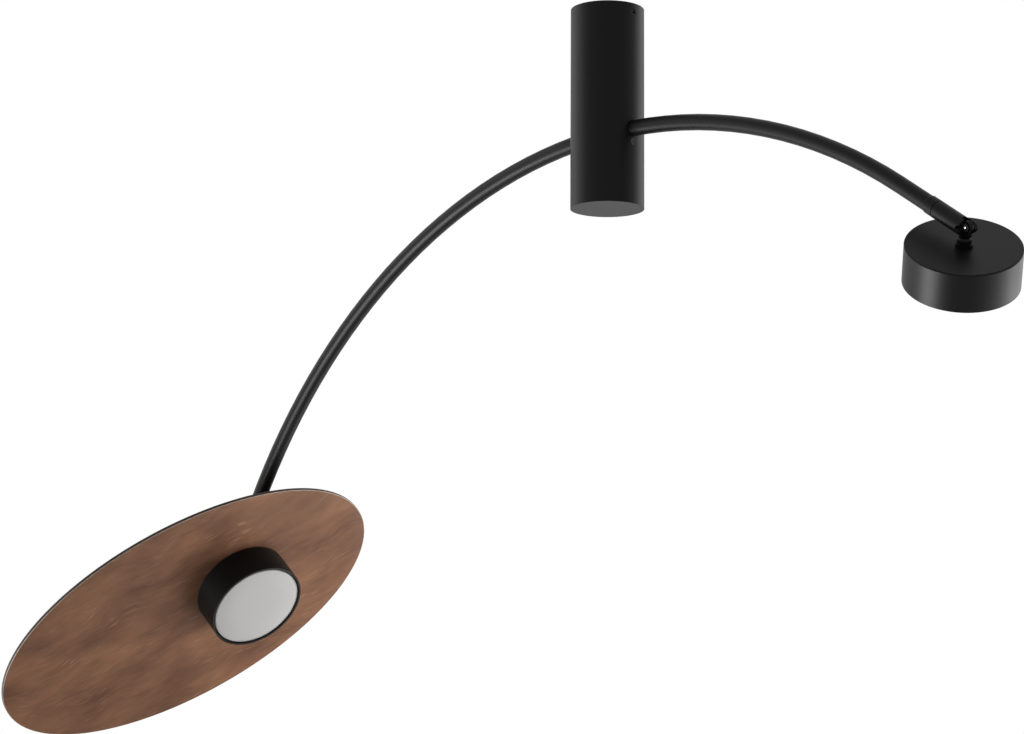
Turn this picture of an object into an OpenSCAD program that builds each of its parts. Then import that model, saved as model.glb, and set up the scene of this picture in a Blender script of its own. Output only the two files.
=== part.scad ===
// Ceiling light: an arched tube through a round canopy, with a swivelling spot head at each end
// and an oval wooden plate behind the left head. Millimetres, ceiling at z = 0, +Z up,
// the arch in the XZ plane with its short arm towards +X.

/* [Canopy] */
// Outside diameter of the canopy
canopy_d = 55; // [48:0.5:70]
// Depth of the canopy below the ceiling
canopy_h = 153; // [130:1:220]
// Wall of the canopy
canopy_wall = 1.5; // [1:0.1:2.5]
// Thickness of the canopy floor
canopy_floor = 2; // [1:0.1:4]
// Gap between the canopy rim and the ceiling
canopy_rim_gap = 0.5; // [0.2:0.1:2]
// Depth of the set screws below the ceiling
set_screw_z = 7.5; // [6:0.5:10]

/* [Ceiling bracket] */
// Thickness of the bracket plate
bracket_plate = 2.5; // [1.5:0.1:4]
// Depth of the bracket skirt, plate included
bracket_h = 16; // [13:0.5:24]
// Wall of the bracket skirt
bracket_wall = 2; // [1.5:0.1:3]
// Distance between the two ceiling screw holes
ceiling_hole_spacing = 34; // [30:0.5:36]
// Diameter of the ceiling screw holes
ceiling_hole_d = 5; // [4:0.1:6]
// Diameter of the cable inlet
cable_inlet_d = 10; // [7:0.5:11]
// Distance of the cable inlet from the canopy axis
cable_inlet_x = 13; // [12:0.5:15]

/* [Arm] */
// Outside diameter of the arm tube
arm_d = 12; // [10:0.5:14]
// Wall of the arm tube
arm_wall = 1; // [0.8:0.1:1.5]
// Bend radius of the arm, to the tube axis
arm_bend_r = 476; // [400:1:600]
// Depth of the top of the arch below the ceiling, to the tube axis
arm_drop = 95.7; // [80:0.1:110]
// Offset of the top of the arch from the canopy axis
arm_top_x = 8.7; // [0:0.1:15]
// Angle of the bend on the short side
short_angle = 34.8; // [20:0.1:60]
// Angle of the bend on the long side
long_angle = 60.5; // [40:0.1:70]
// Straight tube after the bend on the short side, up to the collar
short_tail = 30; // [1:0.1:60]
// Straight tube after the bend on the long side, up to the collar
long_tail = 24.9; // [1:0.1:60]

/* [Arm clamp] */
// Width of the clamp across the tube
clamp_w = 28; // [26:0.5:34]
// Material of the saddle below the tube
clamp_wall = 9; // [7:0.5:14]
// Material of the strap above the tube
strap_wall = 4; // [3:0.5:8]
// Length of the strap along the tube
strap_l = 22; // [14:0.5:26]
// Gap left between strap and saddle
clamp_split = 0.8; // [0.4:0.1:1.5]

/* [Swivel] */
// Diameter of the collar and the sleeve
sleeve_d = 13; // [13:0.1:16]
// Length of the collar
collar_l = 8.2; // [8:0.1:16]
// Depth of the tube in the collar
collar_seat_l = 6.5; // [4:0.1:7]
// Length of the sleeve, from the seam to the tilt pivot
sleeve_l = 27.8; // [26:0.1:45]
// Gap at the seam between collar and sleeve
seam_gap = 0.6; // [0.2:0.1:0.8]
// Diameter of the spigot that the sleeve turns on
spigot_d = 8; // [7:0.1:9]
// Length of the spigot
spigot_l = 14; // [12:0.5:18]
// Thickness of the knuckle tongue
tongue_t = 2.4; // [2:0.1:3]
// Thickness of the friction washer in the tilt joint
friction_t = 0.4; // [0.3:0.1:0.6]
// Thickness of the tongue left on the sleeve
sleeve_tongue_t = 2.7; // [2.3:0.1:3.2]
// Radius of the knuckle eye
eye_r = 4.6; // [4.2:0.1:5]
// Diameter of the tilt screw shank
pivot_d = 4; // [3:0.1:4.2]
// Distance from the tilt pivot to the foot of the knuckle
knuckle_l = 13.6; // [13:0.1:24]
// Width of the knuckle neck
neck_w = 6.5; // [4:0.1:7]
// Diameter of the knuckle collar
knuckle_collar_d = 9.7; // [9:0.1:11]
// Diameter of the knuckle foot flange
foot_d = 12.1; // [11:0.1:16]
// Diameter of the threaded stud
stud_d = 10; // [8:0.1:10]

/* [Head] */
// Outside diameter of the head shell
head_d = 80; // [79:0.1:90]
// Height of the head shell
head_h = 28.5; // [28:0.1:40]
// Side wall of the head shell
head_wall = 1.5; // [1:0.1:1.6]
// Back plate of the head shell
head_back = 2; // [1.5:0.1:3]
// Radius on the back edge of the head shell
head_edge_r = 1; // [0.4:0.1:1.4]

/* [Lamp] */
// Diameter of the lamp
lamp_d = 75; // [74:0.1:75]
// Height of the lamp in front of its cap plane
lamp_h = 12.2; // [10:0.1:12.6]
// Thickness of the lamp's frosted cover
cover_t = 2.6; // [1.5:0.1:4]
// Depth of the lamp face inside the head rim
lamp_recess = 0.7; // [0.3:0.1:2]
// Diameter of the lamp's nose
nose_d = 40; // [34:0.5:42]
// Length of the lamp's nose
nose_l = 6; // [3:0.1:6.4]
// Distance between the contact pins
pin_spacing = 53; // [52:0.1:54]
// Turn between locked and free
lock_angle = 15; // [10:1:20]

/* [Plate] */
// Long diameter of the oval plate
plate_l = 332; // [260:1:400]
// Short diameter of the oval plate
plate_w = 204.5; // [150:0.5:260]
// Thickness of the plate
plate_t = 3; // [2:0.1:8]
// Distance of the stud hole from the middle of the plate
plate_hole_x = 50.2; // [0:0.1:70]

/* [Pose in the photo] */
// Turn of the short side's sleeve
short_swivel = 27.9; // [-90:0.1:90]
// Bend of the short side's tilt joint
short_bend = 87.7; // [0:0.1:90]
// Bend of the long side's tilt joint
long_bend = 77; // [0:0.1:80]
// Turn of the plate on its stud
plate_turn = -48.9; // [-180:0.1:180]

/* [Clearances] */
// Radial clearance of a turning fit
run_gap = 0.05; // [0.02:0.01:0.09]
// Radial clearance of a screw in its thread or the arm in its clamp
seat_gap = 0.05; // [0.02:0.01:0.1]
// Gap between flat faces that turn on each other
face_gap = 0.1; // [0.05:0.01:0.3]
// Radial clearance of the arm in the collars
arm_seat_gap = 0.05; // [0.02:0.01:0.2]
// Radial clearance of the arm in the canopy holes
arm_hole_gap = 0.3; // [0.1:0.05:0.6]
// Radial clearance of the bracket in the canopy
bracket_gap = 0.1; // [0.05:0.05:0.3]
// Radial clearance of screws in plain holes
screw_gap = 0.2; // [0.1:0.05:0.5]

/* [Hidden] */
$fn = 64;
SHORT = 1;
LONG = -1;

// Canopy and bracket
canopy_r = canopy_d / 2;
canopy_in_r = canopy_r - canopy_wall;
bracket_r = canopy_in_r - bracket_gap;
bracket_in_r = bracket_r - bracket_wall;
set_screw_d = 4;
set_screw_l = canopy_wall + bracket_wall + 2;
set_screw_sink = 0.8;
set_screw_socket_d = 2;
earth_screw_d = 4;
earth_head_d = 7.5;
earth_head_t = 2.6;
earth_x = cable_inlet_x;
earth_y = -12;
block_x0 = -18;
block_x1 = 4;
block_w = 20;
block_h = 16;
block_screw_d = 4.5;
block_screw_l = 5;
block_screw_in = 4;
block_wire_d = 3.4;
block_pitch = 7;
// Depth of the bracket plate's lower face
plate_under_z = -bracket_plate;

// Arm
arm_r = arm_d / 2;
arm_in_r = arm_r - arm_wall;
arm_centre_z = -arm_drop - arm_bend_r;
tail_root = 0.05;
tail_step = 0.02;
lead_d = 6;
lead_rest = 0.1;
lead_bend_r = arm_bend_r - (arm_in_r - lead_d / 2 - lead_rest);
feed_x = -12;
feed_d = 2.4;
feed_pitch = 2.8;
feed_hole_d = 7;
// Height of the tube axis at a distance x from the canopy axis
function arm_z(x) = arm_centre_z + sqrt(arm_bend_r * arm_bend_r - (x - arm_top_x) * (x - arm_top_x));

// Arm clamp
strap_x0 = -2;
clamp_z0 = -arm_drop - arm_r - clamp_wall;
clamp_top = -arm_drop + arm_r + strap_wall;
clamp_screw_d = 4;
clamp_socket_d = 3;
clamp_screw_y = arm_r + (clamp_w / 2 - arm_r) / 2;
clamp_screw_head_d = 7;
clamp_screw_head_t = 2.8;
saddle_screw_d = 3;
saddle_screw_head_d = 5.4;
saddle_screw_head_t = 0.7;
saddle_screw_sink = 0.15;
saddle_socket_d = 2;
saddle_screw_l = 11;
// Where the sunk heads of the saddle screws start, from the canopy axis
saddle_head_x = canopy_r - saddle_screw_sink - saddle_screw_head_t;
saddle_screw_z = -arm_drop - arm_r - clamp_wall / 2;

// Swivel ends
function end_angle(s) = s == SHORT ? short_angle : long_angle;
function tail(s) = s == SHORT ? short_tail : long_tail;
function swivel(s) = s == SHORT ? short_swivel : 180;
function bend(s) = s == SHORT ? short_bend : long_bend;
// Space that the plate takes between knuckle foot and head
function stack(s) = s == SHORT ? 0 : plate_t + 2 * face_gap;
sleeve_r = sleeve_d / 2;
spigot_r = spigot_d / 2;
lead_bore_d = 5;
lap_y = sleeve_r - sleeve_tongue_t;
tongue_y1 = lap_y - friction_t - face_gap;
tongue_y0 = tongue_y1 - tongue_t;
// Room round the eye and beside the neck in the sleeve's lap
lap_gap = 0.5;
foot_t = 2;
knuckle_collar_l = 3.5;
neck_end = knuckle_l - foot_t - knuckle_collar_l;
neck_cone_l = 1.3;
neck_cone_d = 8;
pivot_head_d = 6.4;
pivot_head_t = 1.4;
// Outer face of the tilt screw's head, from the sleeve axis
pivot_head_y = tongue_y0 - face_gap - pivot_head_t;
// Near half of the sleeve's end: its face over the screw's head, its end short of the pivot, its bore
near_y = pivot_head_y - lap_gap;
near_end = 0.5;
near_bore_r = pivot_head_d / 2 + screw_gap;
// Round end of the sleeve's tongue
tongue_end_r = 5.2;
pivot_socket_d = 3;
pivot_socket_depth = 1;
pivot_end_sink = 0.4;
friction_r = 4.2;
swivel_screw_d = 3;
swivel_screw_z = 7;
groove_depth = 0.8;
groove_w = swivel_screw_d + 0.5;
groove_tip_gap = 0.15;
collar_chamfer = 0.6;

// Head and lamp, measured from the outer face of the head's back plate
head_r = head_d / 2;
nut_af = 15;
nut_t = 5;
stud_end = 1;
lamp_face = head_h - lamp_recess;
cap_plane = lamp_face - lamp_h;
cap_gap = 0.4;
holder_front = cap_plane - cap_gap;
holder_plate = 2;
holder_d = 68;
holder_wall = 2;
nose_gap = 1;
holder_hole_d = nose_d + 2 * nose_gap;
pin_d = 3;
pin_head_d = 5;
pin_head_t = 2.5;
pin_slot_gap = 0.3;
pin_back_gap = 0.3;
pin_r = pin_spacing / 2;
post_d = 8;
holder_screw_d = 3;
holder_screw_head_d = 5.5;
holder_screw_head_t = 1.5;
// Metal left under the blind screw holes in the back plate
blind_skin = 0.6;
edge_break = 0.8;

// Plate
plate_steps = 144;

steel_black = [0.10, 0.10, 0.10];
zinc = [0.72, 0.73, 0.75];
brass = [0.78, 0.62, 0.30];
white_plastic = [0.86, 0.86, 0.84];
wood_brown = [0.46, 0.33, 0.26];

// Ring with its axis on Z
module ring(d_out, d_in, h) {
    difference() {
        cylinder(d = d_out, h = h);
        translate([0, 0, -1]) cylinder(d = d_in, h = h + 2);
    }
}

// Section swept round the bend centre in the XZ plane, from the long side to the short side
module sweep_bend() {
    translate([arm_top_x, 0, arm_centre_z])
        rotate([90, 0, 0])
            rotate([0, 0, 90 - short_angle])
                rotate_extrude(angle = short_angle + long_angle, $fn = 128) children();
}

// Frame at the end of the bend: +Z runs out along the tube
module at_bend_end(s) {
    translate([arm_top_x + s * arm_bend_r * sin(end_angle(s)), 0,
               arm_centre_z + arm_bend_r * cos(end_angle(s))])
        rotate([0, s * (90 + end_angle(s)), 0]) children();
}

// Frame at the seam between collar and sleeve
module at_seam(s) {
    at_bend_end(s) translate([0, 0, tail(s) + collar_l]) children();
}

// Frame of the sleeve: origin on the tilt pivot, +Z along the sleeve, pivot along Y
module at_pivot(s) {
    at_seam(s) translate([0, 0, seam_gap + sleeve_l]) rotate([0, 0, swivel(s)]) children();
}

// Frame of the knuckle: origin on the tilt pivot, +Z towards the lamp
module at_knuckle(s) {
    at_pivot(s) rotate([0, bend(s), 0]) children();
}

// Frame of the head: origin on the outer face of the back plate, +Z towards the lamp
module at_head(s) {
    at_knuckle(s) translate([0, 0, knuckle_l + stack(s)]) children();
}

module two_sides() {
    for (a = [0, 180]) rotate([0, 0, a]) children();
}

module ceiling_bracket() {
    color(zinc) difference() {
        translate([0, 0, -bracket_h]) cylinder(r = bracket_r, h = bracket_h);
        translate([0, 0, -bracket_h - 1]) cylinder(r = bracket_in_r, h = bracket_h + 1 - bracket_plate);
        for (y = [-1, 1]) translate([0, y * ceiling_hole_spacing / 2, -bracket_plate - 1])
            cylinder(d = ceiling_hole_d, h = bracket_plate + 2);
        translate([cable_inlet_x, 0, -bracket_plate - 1])
            cylinder(d = cable_inlet_d, h = bracket_plate + 2);
        translate([earth_x, earth_y, -bracket_plate - 1])
            cylinder(d = earth_screw_d + 2 * seat_gap, h = bracket_plate + 2);
        two_sides() translate([0, 0, -set_screw_z]) rotate([0, 90, 0])
            cylinder(d = set_screw_d + 2 * seat_gap, h = canopy_r + 1);
    }
}

module canopy_shell() {
    color(steel_black) difference() {
        translate([0, 0, -canopy_h]) cylinder(r = canopy_r, h = canopy_h - canopy_rim_gap);
        translate([0, 0, -canopy_h + canopy_floor]) cylinder(r = canopy_in_r, h = canopy_h);
        for (s = [SHORT, LONG])
            translate([s * (canopy_r - canopy_wall / 2), 0, arm_z(s * (canopy_r - canopy_wall / 2))])
                rotate([0, 90, 0])
                    cylinder(r = arm_r + arm_hole_gap, h = 4 * canopy_wall, center = true);
        two_sides() translate([canopy_in_r - 3, 0, -set_screw_z]) rotate([0, 90, 0])
            cylinder(d = set_screw_d + 2 * screw_gap, h = canopy_wall + 6);
        two_sides() translate([0, 0, saddle_screw_z]) rotate([0, 90, 0]) {
            translate([0, 0, canopy_in_r - 3]) cylinder(d = saddle_screw_d + 2 * screw_gap, h = canopy_wall + 3);
            translate([0, 0, saddle_head_x - seat_gap])
                cylinder(d = saddle_screw_head_d + 2 * screw_gap, h = canopy_wall);
        }
    }
}

module canopy_set_screws() {
    color(steel_black) two_sides()
        translate([canopy_r - set_screw_l - set_screw_sink, 0, -set_screw_z]) rotate([0, 90, 0])
            difference() {
                cylinder(d = set_screw_d, h = set_screw_l);
                translate([0, 0, set_screw_l - 2]) cylinder(d = set_screw_socket_d, h = 3, $fn = 6);
            }
}

module earth_screw() {
    color(brass) translate([earth_x, earth_y, 0]) difference() {
        union() {
            translate([0, 0, plate_under_z]) cylinder(d = earth_screw_d, h = bracket_plate);
            translate([0, 0, plate_under_z - earth_head_t]) cylinder(d = earth_head_d, h = earth_head_t);
        }
        translate([-earth_head_d, -0.5, plate_under_z - earth_head_t - 1])
            cube([2 * earth_head_d, 1, 2]);
    }
}

// Screw positions on the underside of the terminal block
module at_terminals() {
    for (i = [-1, 0, 1], x = [block_x0 + block_screw_in, block_x1 - block_screw_in])
        translate([x, i * block_pitch, plate_under_z - block_h]) children();
}

module terminal_block() {
    color(white_plastic) difference() {
        translate([block_x0, -block_w / 2, plate_under_z - block_h])
            cube([block_x1 - block_x0, block_w, block_h]);
        at_terminals() translate([0, 0, -1])
            cylinder(d = block_screw_d + 2 * seat_gap, h = block_screw_l + 2);
        for (i = [-1, 0, 1])
            translate([block_x0 - 1, i * block_pitch, plate_under_z - block_h / 2]) rotate([0, 90, 0])
                cylinder(d = block_wire_d, h = block_x1 - block_x0 + 2);
    }
}

module terminal_screws() {
    color(brass) at_terminals() translate([0, 0, 1]) difference() {
        cylinder(d = block_screw_d, h = block_screw_l);
        translate([-block_screw_d, -0.4, -1]) cube([2 * block_screw_d, 0.8, 1.8]);
    }
}

module feed_leads() {
    feed_top = plate_under_z - block_h;
    lead_top = arm_z(feed_x) - (arm_in_r - lead_d - lead_rest);
    color("dimgray") for (i = [-0.5, 0.5])
        translate([feed_x, i * feed_pitch, lead_top])
            cylinder(d = feed_d, h = feed_top - lead_top);
}

// The straight ends are drawn a hair inside the bend's walls
module arm_tube() {
    color(steel_black) difference() {
        union() {
            sweep_bend() translate([arm_bend_r, 0]) difference() {
                circle(r = arm_r);
                circle(r = arm_in_r);
            }
            for (s = [SHORT, LONG]) at_bend_end(s) translate([0, 0, -tail_root])
                ring(arm_d - 2 * tail_step, 2 * (arm_in_r + tail_step), tail_root + tail(s) + collar_seat_l);
        }
        translate([feed_x, 0, arm_z(feed_x)]) cylinder(d = feed_hole_d, h = arm_r + 2);
    }
}

module arm_lead() {
    color("gray") sweep_bend() translate([lead_bend_r, 0]) circle(d = lead_d);
}

// Room for the arm in its clamp
module arm_seat() {
    sweep_bend() translate([arm_bend_r, 0]) circle(r = arm_r + seat_gap);
}

module arm_saddle() {
    color(zinc) difference() {
        intersection() {
            translate([0, 0, clamp_z0]) cylinder(r = canopy_in_r - bracket_gap, h = clamp_wall + arm_r);
            translate([-canopy_r, -clamp_w / 2, clamp_z0])
                cube([canopy_d, clamp_w, -arm_drop - clamp_split / 2 - clamp_z0]);
        }
        arm_seat();
        for (y = [-1, 1]) translate([strap_x0 + strap_l / 2, y * clamp_screw_y, clamp_z0 - 1])
            cylinder(d = clamp_screw_d + 2 * seat_gap, h = 2 * (arm_r + clamp_wall));
        two_sides() translate([0, 0, saddle_screw_z]) rotate([0, 90, 0])
            translate([0, 0, saddle_head_x - saddle_screw_l - 1])
                cylinder(d = saddle_screw_d + 2 * seat_gap, h = saddle_screw_l + 2);
    }
}

module arm_strap() {
    color(zinc) difference() {
        translate([strap_x0, -clamp_w / 2, -arm_drop + clamp_split / 2])
            cube([strap_l, clamp_w, clamp_top + arm_drop - clamp_split / 2]);
        arm_seat();
        for (y = [-1, 1]) translate([strap_x0 + strap_l / 2, y * clamp_screw_y, -arm_drop - 1])
            cylinder(d = clamp_screw_d + 2 * screw_gap, h = 2 * (arm_r + clamp_wall));
    }
}

module arm_strap_screws() {
    color(zinc) for (y = [-1, 1])
        translate([strap_x0 + strap_l / 2, y * clamp_screw_y, 0]) difference() {
            union() {
                translate([0, 0, clamp_top]) cylinder(d = clamp_screw_head_d, h = clamp_screw_head_t);
                translate([0, 0, clamp_z0 + 1]) cylinder(d = clamp_screw_d, h = clamp_top - clamp_z0);
            }
            translate([0, 0, clamp_top + 1]) cylinder(d = clamp_socket_d, h = clamp_screw_head_t, $fn = 6);
        }
}

module saddle_screws() {
    color(steel_black) two_sides() translate([0, 0, saddle_screw_z]) rotate([0, 90, 0]) difference() {
        union() {
            translate([0, 0, saddle_head_x - saddle_screw_l]) cylinder(d = saddle_screw_d, h = saddle_screw_l);
            translate([0, 0, saddle_head_x]) cylinder(d = saddle_screw_head_d, h = saddle_screw_head_t);
        }
        translate([0, 0, saddle_head_x + saddle_screw_head_t / 2])
            cylinder(d = saddle_socket_d, h = saddle_screw_head_t, $fn = 6);
    }
}

// Tube end fitting: the tube seats in one end, the spigot stands on the other
module collar(s) {
    groove_z = seam_gap + swivel_screw_z;
    color(steel_black) at_seam(s) difference() {
        union() {
            translate([0, 0, -collar_l + collar_chamfer]) cylinder(d = sleeve_d, h = collar_l - collar_chamfer);
            translate([0, 0, -collar_l])
                cylinder(d1 = sleeve_d - collar_chamfer, d2 = sleeve_d, h = collar_chamfer);
            cylinder(d = spigot_d, h = spigot_l);
        }
        translate([0, 0, -collar_l - 1]) cylinder(r = arm_r + arm_seat_gap, h = collar_seat_l + 1);
        translate([0, 0, -collar_l]) cylinder(d = lead_bore_d, h = collar_l + spigot_l + 1);
        translate([0, 0, groove_z - groove_w / 2]) ring(spigot_d + 2, spigot_d - 2 * groove_depth, groove_w);
    }
}

// Swivel sleeve: slotted for the knuckle, with a round tongue behind the slot and a short half in front
module sleeve(s) {
    color(steel_black) at_pivot(s) difference() {
        union() {
            translate([0, 0, -sleeve_l]) cylinder(d = sleeve_d, h = sleeve_l);
            intersection() {
                cylinder(d = sleeve_d, h = sleeve_d);
                rotate([90, 0, 0]) cylinder(r = tongue_end_r, h = 2 * sleeve_d, center = true);
            }
        }
        translate([-sleeve_d, near_y, -neck_w / 2 - lap_gap])
            cube([2 * sleeve_d, lap_y - near_y, 3 * sleeve_d]);
        translate([0, lap_y, 0]) rotate([90, 0, 0]) cylinder(r = eye_r + lap_gap, h = lap_y - near_y);
        translate([-sleeve_d, tongue_y0 - 2 * sleeve_d, -near_end])
            cube([2 * sleeve_d, 2 * sleeve_d, 3 * sleeve_d]);
        translate([0, tongue_y0, 0]) rotate([90, 0, 0]) cylinder(r = near_bore_r, h = 2 * sleeve_d);
        translate([0, 0, -sleeve_l - 1]) cylinder(r = spigot_r + run_gap, h = spigot_l + 2);
        rotate([-90, 0, 0]) cylinder(d = pivot_d + 2 * seat_gap, h = sleeve_d);
        translate([0, 0, -sleeve_l + swivel_screw_z]) rotate([0, 90, 0])
            cylinder(d = swivel_screw_d + 2 * seat_gap, h = sleeve_d);
    }
}

// Grub screw whose tip runs in the spigot groove
module swivel_screw(s) {
    tip_r = spigot_r - groove_depth + groove_tip_gap;
    color(steel_black) at_pivot(s) translate([tip_r, 0, -sleeve_l + swivel_screw_z]) rotate([0, 90, 0])
        difference() {
            cylinder(d = swivel_screw_d, h = sleeve_r - tip_r - 0.2);
            translate([0, 0, 1.4]) cylinder(d = swivel_screw_d / 2, h = sleeve_d, $fn = 6);
        }
}

module pivot_screw(s) {
    shank_y = pivot_head_y + pivot_head_t / 2;
    color(steel_black) at_pivot(s) rotate([-90, 0, 0]) difference() {
        union() {
            translate([0, 0, pivot_head_y]) cylinder(d = pivot_head_d, h = pivot_head_t);
            translate([0, 0, shank_y]) cylinder(d = pivot_d, h = sleeve_r - pivot_end_sink - shank_y);
        }
        translate([0, 0, pivot_head_y - 1]) cylinder(d = pivot_socket_d, h = 1 + pivot_socket_depth, $fn = 6);
    }
}

module friction_washer(s) {
    color("ivory") at_pivot(s) translate([0, lap_y, 0]) rotate([90, 0, 0])
        ring(2 * friction_r, pivot_d + 2 * screw_gap, friction_t);
}

// Tilt knuckle: eye, neck, collar, foot and the stud that carries the head
module knuckle(s) {
    stud_l = stack(s) + head_back + nut_t + stud_end;
    color(steel_black) at_knuckle(s) difference() {
        union() {
            translate([0, tongue_y1, 0]) rotate([90, 0, 0]) cylinder(r = eye_r, h = tongue_t);
            translate([-neck_w / 2, tongue_y0, 0]) cube([neck_w, tongue_t, neck_end + 1]);
            translate([0, 0, neck_end - neck_cone_l])
                cylinder(d1 = neck_cone_d, d2 = knuckle_collar_d, h = neck_cone_l);
            translate([0, 0, neck_end]) cylinder(d = knuckle_collar_d, h = knuckle_collar_l + foot_t / 2);
            translate([0, 0, knuckle_l - foot_t]) cylinder(d = foot_d, h = foot_t);
            translate([0, 0, knuckle_l - 1]) cylinder(d = stud_d, h = stud_l + 1);
        }
        rotate([-90, 0, 0]) cylinder(d = pivot_d + 2 * run_gap, h = sleeve_d);
        translate([0, 0, neck_end + 1.5]) cylinder(d = lead_bore_d, h = knuckle_l + stud_l);
    }
}

module head_shell(s) {
    color(steel_black) at_head(s) difference() {
        rotate_extrude() {
            difference() {
                union() {
                    translate([0, head_edge_r]) square([head_r, head_h - head_edge_r]);
                    square([head_r - head_edge_r, head_edge_r]);
                    translate([head_r - head_edge_r, head_edge_r]) circle(r = head_edge_r);
                }
                translate([0, head_back]) square([head_r - head_wall, head_h]);
                translate([-2 * head_edge_r, 0]) square([2 * head_edge_r, head_h]);
            }
        }
        translate([0, 0, -1]) cylinder(d = stud_d + 2 * screw_gap, h = head_back + 2);
        holder_posts() translate([0, 0, blind_skin]) cylinder(d = holder_screw_d + 2 * seat_gap, h = head_back);
    }
}

module head_nut(s) {
    color(zinc) at_head(s) translate([0, 0, head_back]) difference() {
        cylinder(d = nut_af / cos(30), h = nut_t, $fn = 6);
        translate([0, 0, -1]) cylinder(d = stud_d + 2 * seat_gap, h = nut_t + 2);
    }
}

// Fixing posts of the lamp holder, a quarter turn from the contacts
module holder_posts() {
    for (a = [90, 270]) rotate([0, 0, a]) translate([pin_r, 0, 0]) children();
}

// Keyhole slots: the pin's neck runs in the slot, and its head enters at the free end
module pin_slots() {
    slot_r = pin_d / 2 + pin_slot_gap;
    two_sides() {
        rotate_extrude(angle = lock_angle) translate([pin_r - slot_r, 0])
            square([2 * slot_r, holder_plate + 2]);
        translate([pin_r, 0, 0]) cylinder(r = slot_r, h = holder_plate + 2);
        rotate([0, 0, lock_angle]) translate([pin_r, 0, 0])
            cylinder(d = pin_head_d + 2 * pin_slot_gap, h = holder_plate + 2);
    }
}

module lamp_holder(s) {
    color(white_plastic) at_head(s) difference() {
        union() {
            difference() {
                translate([0, 0, head_back]) cylinder(d = holder_d, h = holder_front - head_back);
                translate([0, 0, head_back - 1])
                    cylinder(d = holder_d - 2 * holder_wall, h = holder_front - holder_plate - head_back + 1);
            }
            holder_posts() translate([0, 0, head_back])
                cylinder(d = post_d, h = holder_front - head_back - 1);
        }
        cylinder(d = holder_hole_d, h = head_h);
        translate([0, 0, holder_front - holder_plate - 1]) pin_slots();
        holder_posts() cylinder(d = holder_screw_d + 2 * screw_gap, h = head_h);
        holder_posts() translate([0, 0, holder_front - holder_screw_head_t - face_gap])
            cylinder(d = holder_screw_head_d + 2 * screw_gap, h = head_h);
    }
}

module holder_screws(s) {
    head_z = holder_front - holder_screw_head_t - face_gap;
    tip_z = blind_skin + face_gap;
    color(zinc) at_head(s) holder_posts() difference() {
        union() {
            translate([0, 0, tip_z]) cylinder(d = holder_screw_d, h = head_z - tip_z);
            translate([0, 0, head_z]) cylinder(d = holder_screw_head_d, h = holder_screw_head_t);
        }
        translate([-holder_screw_head_d, -0.4, head_z + 0.8]) cube([2 * holder_screw_head_d, 0.8, 2]);
    }
}

module lamp_body(s) {
    color(white_plastic) at_head(s) union() {
        translate([0, 0, cap_plane]) cylinder(d = lamp_d, h = lamp_h - cover_t);
        translate([0, 0, cap_plane - nose_l]) cylinder(d = nose_d, h = nose_l + 1);
    }
}

// Frosted cover with a broken front edge
module lamp_cover(s) {
    color("whitesmoke") at_head(s) translate([0, 0, lamp_face - cover_t]) rotate_extrude() difference() {
        square([lamp_d / 2, cover_t]);
        translate([lamp_d / 2, cover_t]) rotate([0, 0, 45])
            square(edge_break * sqrt(2), center = true);
    }
}

module lamp_pins(s) {
    neck_l = cap_gap + holder_plate + pin_back_gap;
    color(brass) at_head(s) two_sides() translate([pin_r, 0, 0]) union() {
        translate([0, 0, cap_plane - neck_l]) cylinder(d = pin_d, h = neck_l);
        translate([0, 0, cap_plane - neck_l - pin_head_t]) cylinder(d = pin_head_d, h = pin_head_t);
    }
}

function oval_point(i) = [plate_l / 2 * cos(360 * i / plate_steps), plate_w / 2 * sin(360 * i / plate_steps)];

module wood_plate() {
    color(wood_brown) at_knuckle(LONG) translate([0, 0, knuckle_l + face_gap])
        rotate([0, 0, plate_turn]) difference() {
            translate([-plate_hole_x, 0, 0]) linear_extrude(plate_t)
                polygon([for (i = [0 : plate_steps - 1]) oval_point(i)]);
            translate([0, 0, -1]) cylinder(d = stud_d + 2 * run_gap, h = plate_t + 2);
        }
}

ceiling_bracket();
canopy_shell();
canopy_set_screws();
earth_screw();
terminal_block();
terminal_screws();
feed_leads();
arm_tube();
arm_lead();
arm_saddle();
arm_strap();
arm_strap_screws();
saddle_screws();
collar(LONG);  // left_collar
sleeve(LONG);  // left_sleeve
swivel_screw(LONG);  // left_swivel_screw
pivot_screw(LONG);  // left_pivot_screw
friction_washer(LONG);  // left_friction_washer
knuckle(LONG);  // left_knuckle
wood_plate();
head_shell(LONG);  // left_head_shell
head_nut(LONG);  // left_head_nut
lamp_holder(LONG);  // left_lamp_holder
holder_screws(LONG);  // left_holder_screws
lamp_body(LONG);  // left_lamp_body
lamp_cover(LONG);  // left_lamp_cover
lamp_pins(LONG);  // left_lamp_pins
collar(SHORT);  // right_collar
sleeve(SHORT);  // right_sleeve
swivel_screw(SHORT);  // right_swivel_screw
pivot_screw(SHORT);  // right_pivot_screw
friction_washer(SHORT);  // right_friction_washer
knuckle(SHORT);  // right_knuckle
head_shell(SHORT);  // right_head_shell
head_nut(SHORT);  // right_head_nut
lamp_holder(SHORT);  // right_lamp_holder
holder_screws(SHORT);  // right_holder_screws
lamp_body(SHORT);  // right_lamp_body
lamp_cover(SHORT);  // right_lamp_cover
lamp_pins(SHORT);  // right_lamp_pins
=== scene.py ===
import bmesh
import bpy
import math
from mathutils import Matrix, Vector


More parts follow.
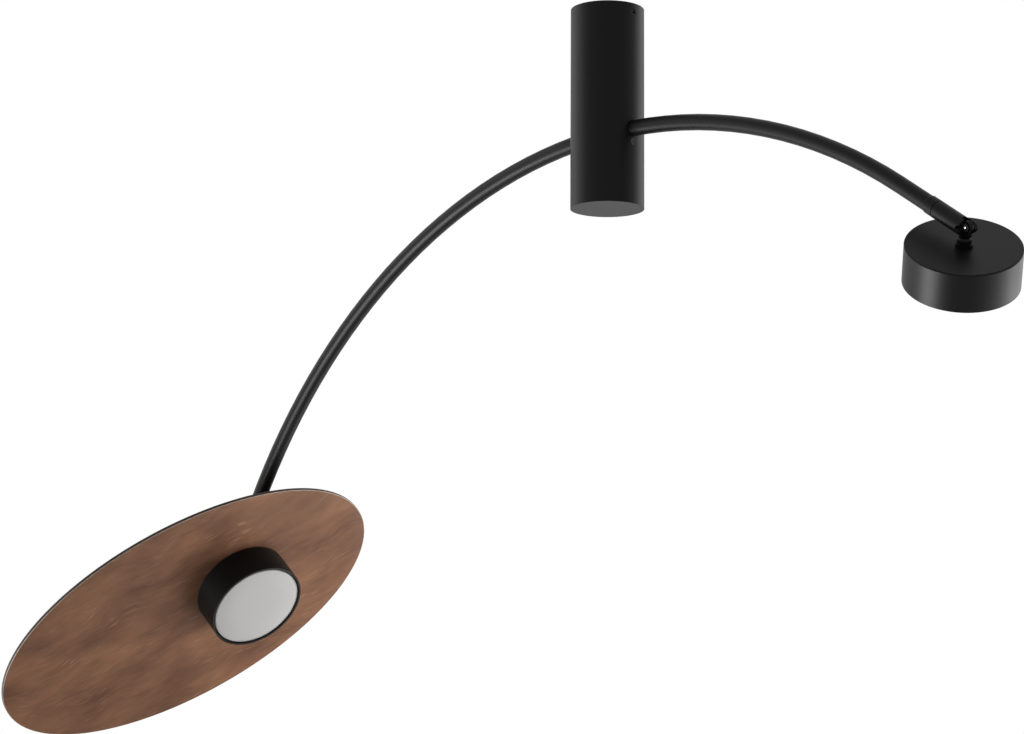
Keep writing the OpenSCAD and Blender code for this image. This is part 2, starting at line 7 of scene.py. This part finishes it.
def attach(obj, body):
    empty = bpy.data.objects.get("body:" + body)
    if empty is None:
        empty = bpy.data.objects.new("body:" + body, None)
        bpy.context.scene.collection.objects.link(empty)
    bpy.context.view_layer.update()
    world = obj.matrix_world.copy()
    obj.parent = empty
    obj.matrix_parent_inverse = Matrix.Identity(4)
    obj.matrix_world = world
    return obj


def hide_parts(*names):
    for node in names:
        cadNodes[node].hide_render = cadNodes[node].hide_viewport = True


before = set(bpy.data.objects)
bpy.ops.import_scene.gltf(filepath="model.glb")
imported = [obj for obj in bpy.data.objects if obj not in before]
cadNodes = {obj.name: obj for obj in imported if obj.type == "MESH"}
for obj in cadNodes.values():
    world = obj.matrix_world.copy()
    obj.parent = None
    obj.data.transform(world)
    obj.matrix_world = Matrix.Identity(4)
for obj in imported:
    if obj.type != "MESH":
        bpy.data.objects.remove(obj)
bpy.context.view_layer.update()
scene = bpy.context.scene
mm = 0.001


def linear(red, green, blue):
    channels = [c / 255 for c in (red, green, blue)]
    lit = [c / 12.92 if c <= 0.04045 else ((c + 0.055) / 1.055) ** 2.4 for c in channels]
    return (*lit, 1.0)


def moved(x=0.0, y=0.0, z=0.0):
    return Matrix.Translation((x * mm, y * mm, z * mm))


def turned(degrees, axis):
    return Matrix.Rotation(math.radians(degrees), 4, axis)


# camera that matches the photograph's view, image taken as 1024 x 734
cameraView = {
    "location": (1.6497, -1.6605, -0.6793),
    "right": (0.68878, 0.72494, 0.00604),
    "up": (0.12016, -0.12237, 0.98520),
    "focalPixels": 3229.0,
    "imageWidth": 1024.0,
    "sensor": 36.0,
    "clipEnd": 60.0,
}
cameraData = bpy.data.cameras.new("photoCamera")
cameraData.sensor_fit = "HORIZONTAL"
cameraData.sensor_width = cameraView["sensor"]
cameraData.lens = cameraView["focalPixels"] / cameraView["imageWidth"] * cameraView["sensor"]
cameraData.clip_end = cameraView["clipEnd"]
camera = bpy.data.objects.new("photoCamera", cameraData)
scene.collection.objects.link(camera)
viewRight = Vector(cameraView["right"]).normalized()
viewBack = viewRight.cross(Vector(cameraView["up"])).normalized()
viewUp = viewBack.cross(viewRight)
camera.matrix_world = Matrix.Translation(cameraView["location"]) @ Matrix(
    (viewRight, viewUp, viewBack)
).transposed().to_4x4()
scene.camera = camera
scene.view_settings.view_transform = "Standard"
print("camera set")


# where the arm ends, sleeves, knuckles and heads stand, in millimetres and degrees as in the CAD
arch = {
    "bendRadius": 476.0,
    "drop": 95.7,
    "topX": 8.7,
    "collar": 8.2,
    "seam": 0.6,
    "sleeve": 27.8,
    "knuckle": 13.6,
}
ends = {
    "left": {"side": -1, "angle": 60.5, "tail": 24.9, "swivel": 180.0, "bend": 77.0, "stack": 3.2},
    "right": {"side": 1, "angle": 34.8, "tail": 30.0, "swivel": 27.9, "bend": 87.7, "stack": 0.0},
}


def pivotPlace(name):
    end = ends[name]
    angle = math.radians(end["angle"])
    bendEnd = moved(
        arch["topX"] + end["side"] * arch["bendRadius"] * math.sin(angle),
        0.0,
        -arch["drop"] - arch["bendRadius"] + arch["bendRadius"] * math.cos(angle),
    ) @ turned(end["side"] * (90 + end["angle"]), "Y")
    along = end["tail"] + arch["collar"] + arch["seam"] + arch["sleeve"]
    return bendEnd @ moved(z=along) @ turned(end["swivel"], "Z")


def knucklePlace(name):
    return pivotPlace(name) @ turned(ends[name]["bend"], "Y")


def headPlace(name):
    return knucklePlace(name) @ moved(z=arch["knuckle"] + ends[name]["stack"])


# small helpers for node trees
def joinNodes(tree, source, output, target, socket):
    tree.links.new(source.outputs[output], target.inputs[socket])


def addNode(tree, kind, **settings):
    node = tree.nodes.new(kind)
    for key, value in settings.items():
        setattr(node, key, value)
    return node


def fill(node, **values):
    for key, value in values.items():
        node.inputs[key.replace("_", " ")].default_value = value
    return node


def newShaderGroup(name, inputs, outputs):
    group = bpy.data.node_groups.new(name, "ShaderNodeTree")
    for label, kind, value in inputs:
        socket = group.interface.new_socket(label, in_out="INPUT", socket_type=kind)
        socket.default_value = value
    for label, kind in outputs:
        group.interface.new_socket(label, in_out="OUTPUT", socket_type=kind)
    return group, addNode(group, "NodeGroupInput"), addNode(group, "NodeGroupOutput")


# finish group: slow colour drift, a little change in roughness and a fine grain to bump
finish, finishIn, finishOut = newShaderGroup(
    "finishVariation",
    [
        ("Color A", "NodeSocketColor", (0.5, 0.5, 0.5, 1)),
        ("Color B", "NodeSocketColor", (0.5, 0.5, 0.5, 1)),
        ("Drift Scale", "NodeSocketFloat", 20.0),
        ("Rough Low", "NodeSocketFloat", 0.4),
        ("Rough High", "NodeSocketFloat", 0.5),
        ("Grain Scale", "NodeSocketFloat", 900.0),
    ],
    [("Color", "NodeSocketColor"), ("Roughness", "NodeSocketFloat"), ("Height", "NodeSocketFloat")],
)
place = addNode(finish, "ShaderNodeTexCoord")
drift = fill(addNode(finish, "ShaderNodeTexNoise"), Detail=3.0, Roughness=0.55)
grain = fill(addNode(finish, "ShaderNodeTexNoise"), Detail=2.0, Roughness=0.6)
tint = addNode(finish, "ShaderNodeMix", data_type="RGBA")
rough = addNode(finish, "ShaderNodeMapRange")
joinNodes(finish, place, "Object", drift, "Vector")
joinNodes(finish, place, "Object", grain, "Vector")
joinNodes(finish, finishIn, "Drift Scale", drift, "Scale")
joinNodes(finish, finishIn, "Grain Scale", grain, "Scale")
joinNodes(finish, drift, "Fac", tint, "Factor")
finish.links.new(finishIn.outputs["Color A"], tint.inputs[6])
finish.links.new(finishIn.outputs["Color B"], tint.inputs[7])
joinNodes(finish, drift, "Fac", rough, "Value")
joinNodes(finish, finishIn, "Rough Low", rough, "To Min")
joinNodes(finish, finishIn, "Rough High", rough, "To Max")
finish.links.new(tint.outputs[2], finishOut.inputs["Color"])
joinNodes(finish, rough, "Result", finishOut, "Roughness")
joinNodes(finish, grain, "Fac", finishOut, "Height")


def newMaterial(name):
    made = bpy.data.materials.new(name)
    made.use_nodes = True
    return made, made.node_tree, made.node_tree.nodes["Principled BSDF"]


def finishMaterial(name, look):
    made, tree, shader = newMaterial(name)
    group = addNode(tree, "ShaderNodeGroup", node_tree=finish)
    fill(
        group,
        Color_A=look["colorA"],
        Color_B=look["colorB"],
        Drift_Scale=look["driftScale"],
        Rough_Low=look["rough"][0],
        Rough_High=look["rough"][1],
        Grain_Scale=look["grainScale"],
    )
    bump = fill(addNode(tree, "ShaderNodeBump"), Strength=look["bump"], Distance=look["grainDepth"])
    joinNodes(tree, group, "Color", shader, "Base Color")
    joinNodes(tree, group, "Roughness", shader, "Roughness")
    joinNodes(tree, group, "Height", bump, "Height")
    joinNodes(tree, bump, "Normal", shader, "Normal")
    for socket, value in look.get("sockets", {}).items():
        shader.inputs[socket].default_value = value
    return made


finishes = {
    "blackPaint": {
        "colorA": linear(12, 12, 12),
        "colorB": linear(16, 16, 16),
        "driftScale": 14.0,
        "rough": (0.38, 0.46),
        "grainScale": 1400.0,
        "bump": 0.03,
        "grainDepth": 0.0002,
        "sockets": {"Specular IOR Level": 0.11},
    },
    "blackScrew": {
        "colorA": linear(20, 20, 21),
        "colorB": linear(34, 34, 36),
        "driftScale": 160.0,
        "rough": (0.28, 0.42),
        "grainScale": 2600.0,
        "bump": 0.08,
        "grainDepth": 0.0001,
        "sockets": {"Specular IOR Level": 0.25},
    },
    "zincSteel": {
        "colorA": linear(196, 199, 204),
        "colorB": linear(222, 222, 220),
        "driftScale": 90.0,
        "rough": (0.24, 0.42),
        "grainScale": 1800.0,
        "bump": 0.12,
        "grainDepth": 0.0001,
        "sockets": {"Metallic": 1.0},
    },
    "brightBrass": {
        "colorA": linear(206, 172, 96),
        "colorB": linear(224, 194, 122),
        "driftScale": 140.0,
        "rough": (0.22, 0.36),
        "grainScale": 2000.0,
        "bump": 0.08,
        "grainDepth": 0.0001,
        "sockets": {"Metallic": 1.0},
    },
    "whitePlastic": {
        "colorA": linear(226, 226, 222),
        "colorB": linear(234, 233, 228),
        "driftScale": 30.0,
        "rough": (0.38, 0.48),
        "grainScale": 1500.0,
        "bump": 0.06,
        "grainDepth": 0.0001,
        "sockets": {"Specular IOR Level": 0.45},
    },
    "frostedFace": {
        "colorA": linear(184, 182, 181),
        "colorB": linear(193, 191, 190),
        "driftScale": 26.0,
        "rough": (0.48, 0.58),
        "grainScale": 2200.0,
        "bump": 0.05,
        "grainDepth": 0.0001,
        "sockets": {"Specular IOR Level": 0.2},
    },
    "leadSheath": {
        "colorA": linear(112, 112, 112),
        "colorB": linear(130, 130, 128),
        "driftScale": 40.0,
        "rough": (0.46, 0.58),
        "grainScale": 900.0,
        "bump": 0.08,
        "grainDepth": 0.0002,
    },
    "nylonWasher": {
        "colorA": linear(226, 222, 206),
        "colorB": linear(236, 232, 220),
        "driftScale": 120.0,
        "rough": (0.40, 0.52),
        "grainScale": 1500.0,
        "bump": 0.06,
        "grainDepth": 0.0001,
    },
}
materials = {name: finishMaterial(name, look) for name, look in finishes.items()}
print("finishes made:", ", ".join(materials))

slotFinish = {
    "black_paint": "blackPaint",
    "black_screw": "blackScrew",
    "zinc_steel": "zincSteel",
    "brass": "brightBrass",
    "white_plastic": "whitePlastic",
    "frosted_cover": "frostedFace",
    "stained_wood": "blackPaint",  # its solid is replaced by the drawn board
    "lead_sheath": "leadSheath",
    "nylon": "nylonWasher",
}
for name, node in cadNodes.items():
    for index, old in enumerate(list(node.data.materials)):
        node.material_slots[index].link = "OBJECT"
        node.material_slots[index].material = materials[slotFinish[old.name.split(".")[0]]]


# oval plate of stained wood, square to the left head, its hole off centre
plate = {
    "length": 331.9,
    "width": 204.4,
    "thickness": 3.0,
    "holeOffset": 50.2,
    "holeRadius": 5.05,
    "turn": -48.9,
    "faceGap": 0.1,
    "edgeRound": 0.5,
    "edgeSteps": 4,
    "around": 288,
    "rings": 8,
    "sharpAngle": 40.0,
    "flatNormal": 0.99,  # faces squarer to the plate than this are its two sides
    "arrisNormal": 0.2,  # round faces that look forward more than this get a pale painted highlight
}
plateFoot = knucklePlace("left") @ moved(z=arch["knuckle"] + plate["faceGap"])
platePlace = plateFoot @ turned(plate["turn"], "Z")


def linkPiece(name, mesh):
    piece = bpy.data.objects.new(name, mesh)
    scene.collection.objects.link(piece)
    return piece


def plateEdge(p):
    half, bend, steps = p["thickness"] / 2, p["edgeRound"], p["edgeSteps"]
    front = []
    for step in range(steps + 1):
        angle = math.pi / 2 * step / steps
        front.append((bend * (1 - math.sin(angle)), half - bend * (1 - math.cos(angle))))
    return front + [(inset, -z) for inset, z in reversed(front)]


def ovalPlate(p):
    shape = bmesh.new()
    half = p["thickness"] / 2
    shares = [ring / p["rings"] for ring in range(p["rings"])]
    loops = [("flat", share, half) for share in shares]
    loops += [("edge", inset, z) for inset, z in plateEdge(p)]
    loops += [("flat", share, -half) for share in reversed(shares)]
    made = []
    for kind, amount, z in loops:
        row = []
        for step in range(p["around"]):
            angle = 2 * math.pi * step / p["around"]
            inset = amount if kind == "edge" else p["edgeRound"]
            rim = Vector((
                (p["length"] / 2 - inset) * math.cos(angle) - p["holeOffset"],
                (p["width"] / 2 - inset) * math.sin(angle),
                0.0,
            ))
            spot = rim
            if kind == "flat":
                hole = rim.normalized() * p["holeRadius"]
                spot = hole.lerp(rim, amount)
            row.append(shape.verts.new((spot.x * mm, spot.y * mm, (z + half) * mm)))
        made.append(row)
    for row, following in zip(made, made[1:] + made[:1]):
        for step in range(p["around"]):
            after = (step + 1) % p["around"]
            shape.faces.new((row[step], following[step], following[after], row[after]))
    bmesh.ops.recalc_face_normals(shape, faces=shape.faces)
    for face in shape.faces:
        face.smooth = True
    mesh = bpy.data.meshes.new("woodPlate")
    shape.to_mesh(mesh)
    shape.free()
    mesh.set_sharp_from_angle(angle=math.radians(p["sharpAngle"]))
    return mesh


# wood figure: soft clouds drawn out along the plate, faint streaks and short pale fibres in patches
grainFigure = {
    "wanderScale": 11.0,
    "wanderReach": (0.008, 0.044, 0.0),
    "cloudScale": 30.0,
    "cloudStretch": 0.50,
    "streakScale": 190.0,
    "streakStretch": 0.22,
    "streakShare": 0.36,
    "fibreScale": 640.0,
    "fibreStretch": 0.10,
    "patchScale": 48.0,
    "toneRange": (0.445, 0.895),
    "fibreRange": (0.58, 0.72),
    "patchRange": (0.46, 0.66),
    "rough": (0.46, 0.60),
    "fibreDepth": 0.0002,
}
figure, figureIn, figureOut = newShaderGroup(
    "woodFigure",
    [
        ("Vector", "NodeSocketVector", (0, 0, 0)),
        ("Dark", "NodeSocketColor", (0.1, 0.05, 0.03, 1)),
        ("Light", "NodeSocketColor", (0.3, 0.17, 0.1, 1)),
        ("Fibre", "NodeSocketColor", (0.4, 0.25, 0.16, 1)),
        ("Fibre Amount", "NodeSocketFloat", 0.3),
    ],
    [("Color", "NodeSocketColor"), ("Roughness", "NodeSocketFloat"), ("Height", "NodeSocketFloat")],
)


def woodNoise(scale, detail, roughness, distortion=0.0):
    noise = addNode(figure, "ShaderNodeTexNoise")
    return fill(noise, Scale=scale, Detail=detail, Roughness=roughness, Distortion=distortion)


def stretchAlong(share):
    return fill(addNode(figure, "ShaderNodeMapping"), Scale=(share, 1.0, 1.0))


def rangeMask(low, high):
    return fill(addNode(figure, "ShaderNodeMapRange"), From_Min=low, From_Max=high)


wander = woodNoise(grainFigure["wanderScale"], 2.0, 0.5)
bentBy = addNode(figure, "ShaderNodeVectorMath", operation="MULTIPLY_ADD")
bentBy.inputs[1].default_value = grainFigure["wanderReach"]
alongClouds = stretchAlong(grainFigure["cloudStretch"])
alongGrain = stretchAlong(grainFigure["streakStretch"])
alongFibres = stretchAlong(grainFigure["fibreStretch"])
clouds = woodNoise(grainFigure["cloudScale"], 3.0, 0.5)
streaks = woodNoise(grainFigure["streakScale"], 4.0, 0.6, distortion=0.4)
fibres = woodNoise(grainFigure["fibreScale"], 1.0, 0.5)
patches = woodNoise(grainFigure["patchScale"], 2.0, 0.5)
sumTone = addNode(figure, "ShaderNodeMath", operation="MULTIPLY_ADD")
sumTone.inputs[1].default_value = grainFigure["streakShare"]
tone = rangeMask(*grainFigure["toneRange"])
woodTint = addNode(figure, "ShaderNodeMix", data_type="RGBA")
fibreMask = rangeMask(*grainFigure["fibreRange"])
patchMask = rangeMask(*grainFigure["patchRange"])
fibrePatch = addNode(figure, "ShaderNodeMath", operation="MULTIPLY")
fibreShare = addNode(figure, "ShaderNodeMath", operation="MULTIPLY")
fibreTint = addNode(figure, "ShaderNodeMix", data_type="RGBA")
woodRough = addNode(figure, "ShaderNodeMapRange")
fill(woodRough, To_Min=grainFigure["rough"][0], To_Max=grainFigure["rough"][1])
joinNodes(figure, figureIn, "Vector", wander, "Vector")
figure.links.new(wander.outputs["Color"], bentBy.inputs[0])
figure.links.new(figureIn.outputs["Vector"], bentBy.inputs[2])
for stretch, noise in ((alongClouds, clouds), (alongGrain, streaks), (alongFibres, fibres)):
    joinNodes(figure, bentBy, "Vector", stretch, "Vector")
    joinNodes(figure, stretch, "Vector", noise, "Vector")
joinNodes(figure, alongClouds, "Vector", patches, "Vector")
figure.links.new(streaks.outputs["Fac"], sumTone.inputs[0])
figure.links.new(clouds.outputs["Fac"], sumTone.inputs[2])
joinNodes(figure, sumTone, "Value", tone, "Value")
joinNodes(figure, tone, "Result", woodTint, "Factor")
figure.links.new(figureIn.outputs["Dark"], woodTint.inputs[6])
figure.links.new(figureIn.outputs["Light"], woodTint.inputs[7])
joinNodes(figure, fibres, "Fac", fibreMask, "Value")
joinNodes(figure, patches, "Fac", patchMask, "Value")
figure.links.new(fibreMask.outputs["Result"], fibrePatch.inputs[0])
figure.links.new(patchMask.outputs["Result"], fibrePatch.inputs[1])
figure.links.new(fibrePatch.outputs["Value"], fibreShare.inputs[0])
figure.links.new(figureIn.outputs["Fibre Amount"], fibreShare.inputs[1])
joinNodes(figure, fibreShare, "Value", fibreTint, "Factor")
figure.links.new(woodTint.outputs[2], fibreTint.inputs[6])
figure.links.new(figureIn.outputs["Fibre"], fibreTint.inputs[7])
joinNodes(figure, streaks, "Fac", woodRough, "Value")
figure.links.new(fibreTint.outputs[2], figureOut.inputs["Color"])
joinNodes(figure, woodRough, "Result", figureOut, "Roughness")
joinNodes(figure, fibres, "Fac", figureOut, "Height")

woodLooks = {
    "stainedFace": {
        "dark": linear(91, 58, 40),
        "light": linear(141, 99, 71),
        "fibre": linear(172, 136, 108),
        "fibreAmount": 0.50,
        "bump": 0.08,
        "specular": 0.15,
    },
    "stainedEdge": {
        "dark": linear(58, 48, 43),
        "light": linear(84, 72, 64),
        "fibre": linear(98, 86, 78),
        "fibreAmount": 0.20,
        "bump": 0.08,
        "specular": 0.15,
    },
    # pale painted highlight along the front arris, standing in for the glint of light on its
    # rounded edge
    "paintedArrisHighlight": {
        "dark": linear(148, 128, 114),
        "light": linear(182, 162, 146),
        "fibre": linear(198, 180, 166),
        "fibreAmount": 0.20,
        "bump": 0.04,
        "specular": 0.5,
    },
}


def woodMaterial(name, look):
    made, tree, shader = newMaterial(name)
    where = addNode(tree, "ShaderNodeTexCoord")
    toPlate = addNode(tree, "ShaderNodeMapping", vector_type="TEXTURE")
    plateCentre = platePlace @ moved(x=-plate["holeOffset"])
    toPlate.inputs["Location"].default_value = plateCentre.to_translation()
    toPlate.inputs["Rotation"].default_value = platePlace.to_euler()
    group = addNode(tree, "ShaderNodeGroup", node_tree=figure)
    fill(
        group,
        Dark=look["dark"],
        Light=look["light"],
        Fibre=look["fibre"],
        Fibre_Amount=look["fibreAmount"],
    )
    bump = addNode(tree, "ShaderNodeBump")
    fill(bump, Strength=look["bump"], Distance=grainFigure["fibreDepth"])
    joinNodes(tree, where, "Object", toPlate, "Vector")
    joinNodes(tree, toPlate, "Vector", group, "Vector")
    joinNodes(tree, group, "Color", shader, "Base Color")
    joinNodes(tree, group, "Roughness", shader, "Roughness")
    joinNodes(tree, group, "Height", bump, "Height")
    joinNodes(tree, bump, "Normal", shader, "Normal")
    shader.inputs["Specular IOR Level"].default_value = look["specular"]
    return made


plateMesh = ovalPlate(plate)
for name, look in woodLooks.items():
    plateMesh.materials.append(woodMaterial(name, look))
for face in plateMesh.polygons:
    onFace = abs(face.normal.z) > plate["flatNormal"]
    # forward-looking round faces get the pale painted highlight, all round the rim
    onArris = face.normal.z > plate["arrisNormal"]
    face.material_index = 0 if onFace else 2 if onArris else 1  # in the order of woodLooks
plateMesh.transform(platePlace)
woodPlate = linkPiece("wood_plate_board", plateMesh)
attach(woodPlate, "plate")
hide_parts("wood_plate")
print("wood plate made:", len(plateMesh.polygons), "faces")


# Geometry Nodes helpers: build a tree, run it on a mesh, keep the plain result
def newGeometryTree(name, inputs):
    tree = bpy.data.node_groups.new(name, "GeometryNodeTree")
    tree.interface.new_socket("Geometry", in_out="INPUT", socket_type="NodeSocketGeometry")
    for label, kind, value in inputs:
        socket = tree.interface.new_socket(label, in_out="INPUT", socket_type=kind)
        if value is not None:
            socket.default_value = value
    tree.interface.new_socket("Geometry", in_out="OUTPUT", socket_type="NodeSocketGeometry")
    return tree, addNode(tree, "NodeGroupInput"), addNode(tree, "NodeGroupOutput")


def runTree(piece, tree, values):
    modifier = piece.modifiers.new("build", "NODES")
    modifier.node_group = tree
    for item in tree.interface.items_tree:
        if item.item_type == "SOCKET" and item.in_out == "INPUT" and item.name in values:
            modifier[item.identifier] = values[item.name]
    depsgraph = bpy.context.evaluated_depsgraph_get()
    made = bpy.data.meshes.new_from_object(piece.evaluated_get(depsgraph))
    piece.modifiers.remove(modifier)
    piece.data = made
    return piece


# lamp face: a frosted disc with fine grip ribs round its rim
lamp = {
    "radius": 36.6,
    "thickness": 2.6,
    "edgeBreak": 0.6,
    "faceHeight": 27.8,
    "ribCount": 100,
    "ribRadius": 0.70,
    "ribRing": 36.78,
    "ribLength": 2.55,
    "ribSides": 10,
    "around": 180,
    "edgeCurve": ((0.35, 0.2), (0.08, 0.55), (0.0, 1.0)),  # shares of edgeBreak, inward and down
}
turnedSharpAngle = 35.0

ribTree, ribIn, ribOut = newGeometryTree(
    "gripRibs",
    [
        ("Rib Count", "NodeSocketInt", 100),
        ("Rib Radius", "NodeSocketFloat", 0.0007),
        ("Rib Length", "NodeSocketFloat", 0.002),
        ("Ring Radius", "NodeSocketFloat", 0.037),
        ("Ring Height", "NodeSocketFloat", 0.001),
        ("Finish", "NodeSocketMaterial", None),
    ],
)
ribRing = addNode(ribTree, "GeometryNodeMeshCircle", fill_type="NONE")
ribLift = addNode(ribTree, "GeometryNodeTransform")
ribUp = addNode(ribTree, "ShaderNodeCombineXYZ")
ribShape = addNode(ribTree, "GeometryNodeMeshCylinder")
ribShape.inputs["Vertices"].default_value = lamp["ribSides"]
ribPlaced = addNode(ribTree, "GeometryNodeInstanceOnPoints")
ribJoin = addNode(ribTree, "GeometryNodeJoinGeometry")
ribReal = addNode(ribTree, "GeometryNodeRealizeInstances")
ribPaint = addNode(ribTree, "GeometryNodeSetMaterial")
joinNodes(ribTree, ribIn, "Rib Count", ribRing, "Vertices")
joinNodes(ribTree, ribIn, "Ring Radius", ribRing, "Radius")
joinNodes(ribTree, ribRing, "Mesh", ribLift, "Geometry")
joinNodes(ribTree, ribIn, "Ring Height", ribUp, "Z")
joinNodes(ribTree, ribUp, "Vector", ribLift, "Translation")
joinNodes(ribTree, ribIn, "Rib Radius", ribShape, "Radius")
joinNodes(ribTree, ribIn, "Rib Length", ribShape, "Depth")
joinNodes(ribTree, ribLift, "Geometry", ribPlaced, "Points")
joinNodes(ribTree, ribShape, "Mesh", ribPlaced, "Instance")
joinNodes(ribTree, ribPlaced, "Instances", ribJoin, "Geometry")
joinNodes(ribTree, ribIn, "Geometry", ribJoin, "Geometry")
joinNodes(ribTree, ribJoin, "Geometry", ribReal, "Geometry")
joinNodes(ribTree, ribReal, "Geometry", ribPaint, "Geometry")
joinNodes(ribTree, ribIn, "Finish", ribPaint, "Material")
joinNodes(ribTree, ribPaint, "Geometry", ribOut, "Geometry")


def turnedMesh(name, profile, around):
    shape = bmesh.new()
    rows = []
    for radius, height in profile:
        if radius == 0:
            rows.append([shape.verts.new((0, 0, height * mm))])
            continue
        rows.append([
            shape.verts.new((
                radius * mm * math.cos(2 * math.pi * step / around),
                radius * mm * math.sin(2 * math.pi * step / around),
                height * mm,
            ))
            for step in range(around)
        ])
    for row, following in zip(rows, rows[1:]):
        for step in range(around):
            after = (step + 1) % around
            if len(row) == 1:
                shape.faces.new((row[0], following[step], following[after]))
            elif len(following) == 1:
                shape.faces.new((row[step], following[0], row[after]))
            else:
                shape.faces.new((row[step], following[step], following[after], row[after]))
    bmesh.ops.recalc_face_normals(shape, faces=shape.faces)
    for face in shape.faces:
        face.smooth = True
    mesh = bpy.data.meshes.new(name)
    shape.to_mesh(mesh)
    shape.free()
    mesh.set_sharp_from_angle(angle=math.radians(turnedSharpAngle))
    return mesh


def lampFace(side):
    front, back = lamp["faceHeight"], lamp["faceHeight"] - lamp["thickness"]
    radius, edgeBreak = lamp["radius"], lamp["edgeBreak"]
    profile = [(0, front), (radius / 2, front), (radius - edgeBreak, front)]
    for inward, down in lamp["edgeCurve"]:
        profile.append((radius - edgeBreak * inward, front - edgeBreak * down))
    profile += [(radius, back), (0, back)]
    piece = linkPiece(side + "_lamp_face", turnedMesh(side + "LampFace", profile, lamp["around"]))
    runTree(piece, ribTree, {
        "Rib Count": lamp["ribCount"],
        "Rib Radius": lamp["ribRadius"] * mm,
        "Rib Length": lamp["ribLength"] * mm,
        "Ring Radius": lamp["ribRing"] * mm,
        "Ring Height": (back + lamp["ribLength"] / 2) * mm,
        "Finish": materials["frostedFace"],
    })
    piece.data.transform(headPlace(side))
    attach(piece, side + "_lamp")
    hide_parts(side + "_lamp_cover")
    return piece


for side in ends:
    print("lamp face made:", len(lampFace(side).data.polygons), "faces")


# bright steel pin that shows in the middle of each tilt screw
steelPin = {"radius": 1.25, "dome": 0.35, "domeSteps": 4, "top": -0.62, "root": -0.1, "around": 32}


def pinMesh(side):
    p = steelPin
    profile = [(0, p["top"] - p["dome"])]
    for step in range(1, p["domeSteps"] + 1):
        angle = math.pi / 2 * step / p["domeSteps"]
        profile.append((p["radius"] * math.sin(angle), p["top"] - p["dome"] * math.cos(angle)))
    profile += [(p["radius"], p["root"]), (0, p["root"])]
    mesh = turnedMesh(side + "PivotPin", profile, p["around"])
    mesh.materials.append(materials["zincSteel"])
    mesh.transform(pivotPlace(side) @ turned(-90, "X"))
    return mesh


for side in ends:
    pin = linkPiece(side + "_pivot_pin", pinMesh(side))
    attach(pin, side + "_sleeve_body")
print("pivot pins made")


# pale floor, soft boxes and a white surround
stage = {
    "floorHeight": -2.5,
    "floorSize": 60.0,
    "floorColor": (0.86, 0.86, 0.86, 1.0),
    "floorRough": 0.7,
    "floorSpecular": 0.2,
    "floorLift": 0.74,  # white added for the camera and reflections, so the shadow stays
}
floorMesh = bpy.data.meshes.new("floor")
reach = stage["floorSize"] / 2
floorMesh.from_pydata(
    [(x * reach, y * reach, stage["floorHeight"]) for x, y in ((-1, -1), (1, -1), (1, 1), (-1, 1))],
    [],
    [(0, 1, 2, 3)],
)
floor = bpy.data.objects.new("floor", floorMesh)
scene.collection.objects.link(floor)
floorMaterial, floorTree, floorShader = newMaterial("paleFloor")
floorShader.inputs["Base Color"].default_value = stage["floorColor"]
floorShader.inputs["Roughness"].default_value = stage["floorRough"]
floorShader.inputs["Specular IOR Level"].default_value = stage["floorSpecular"]
floorRays = addNode(floorTree, "ShaderNodeLightPath")
floorSeen = addNode(floorTree, "ShaderNodeMath", operation="MAXIMUM")
floorLift = addNode(floorTree, "ShaderNodeMath", operation="MULTIPLY")
floorLift.inputs[1].default_value = stage["floorLift"]
floorTree.links.new(floorRays.outputs["Is Camera Ray"], floorSeen.inputs[0])
floorTree.links.new(floorRays.outputs["Is Glossy Ray"], floorSeen.inputs[1])
floorTree.links.new(floorSeen.outputs["Value"], floorLift.inputs[0])
floorShader.inputs["Emission Color"].default_value = (1.0, 1.0, 1.0, 1.0)
joinNodes(floorTree, floorLift, "Value", floorShader, "Emission Strength")
floorMesh.materials.append(floorMaterial)

lights = {
    "keyBox": {
        "at": (-0.05, 0.44, -0.64),
        "size": (0.7, 0.7),
        "power": 4.1,
        "aim": (-0.42, -0.02, -0.42),
    },
    "sideBox": {"at": (0.34, 0.50, -0.60), "size": (0.6, 0.6), "power": 6.0, "glossOnly": True},
    "rightBox": {"at": (0.35, 1.45, -0.20), "size": (0.9, 1.8), "power": 10.0},
    "leftBox": {"at": (-1.40, -0.75, -0.20), "size": (1.5, 1.8), "power": 14.0},
    "glintBox": {"at": (-0.45, -0.70, -0.87), "size": (0.6, 0.5), "power": 27.0, "glossOnly": True},
}
lightTarget = (-0.05, 0.0, -0.28)
for name, light in lights.items():
    data = bpy.data.lights.new(name, "AREA")
    data.shape = "RECTANGLE"
    data.size, data.size_y = light["size"]
    data.energy = light["power"]
    lampObject = bpy.data.objects.new(name, data)
    lampObject.location = light["at"]
    aim = Vector(light.get("aim", lightTarget)) - Vector(light["at"])
    lampObject.rotation_euler = aim.to_track_quat("-Z", "Y").to_euler()
    lampObject.visible_camera = False
    lampObject.visible_diffuse = not light.get("glossOnly", False)
    scene.collection.objects.link(lampObject)

surround = {"light": (0.25, 0.25, 0.25, 1.0), "white": (1.0, 1.0, 1.0, 1.0)}
world = bpy.data.worlds.new("studio")
scene.world = world
world.use_nodes = True
worldTree = world.node_tree
background = worldTree.nodes["Background"]
rays = addNode(worldTree, "ShaderNodeLightPath")
clear = addNode(worldTree, "ShaderNodeMath", operation="MAXIMUM")
seen = addNode(worldTree, "ShaderNodeMath", operation="MAXIMUM")
shown = addNode(worldTree, "ShaderNodeMix", data_type="RGBA")
worldTree.links.new(rays.outputs["Is Glossy Ray"], clear.inputs[0])
worldTree.links.new(rays.outputs["Is Transmission Ray"], clear.inputs[1])
worldTree.links.new(rays.outputs["Is Camera Ray"], seen.inputs[0])
worldTree.links.new(clear.outputs["Value"], seen.inputs[1])
worldTree.links.new(seen.outputs["Value"], shown.inputs["Factor"])
shown.inputs[6].default_value = surround["light"]
shown.inputs[7].default_value = surround["white"]
worldTree.links.new(shown.outputs[2], background.inputs["Color"])
print("stage lit")
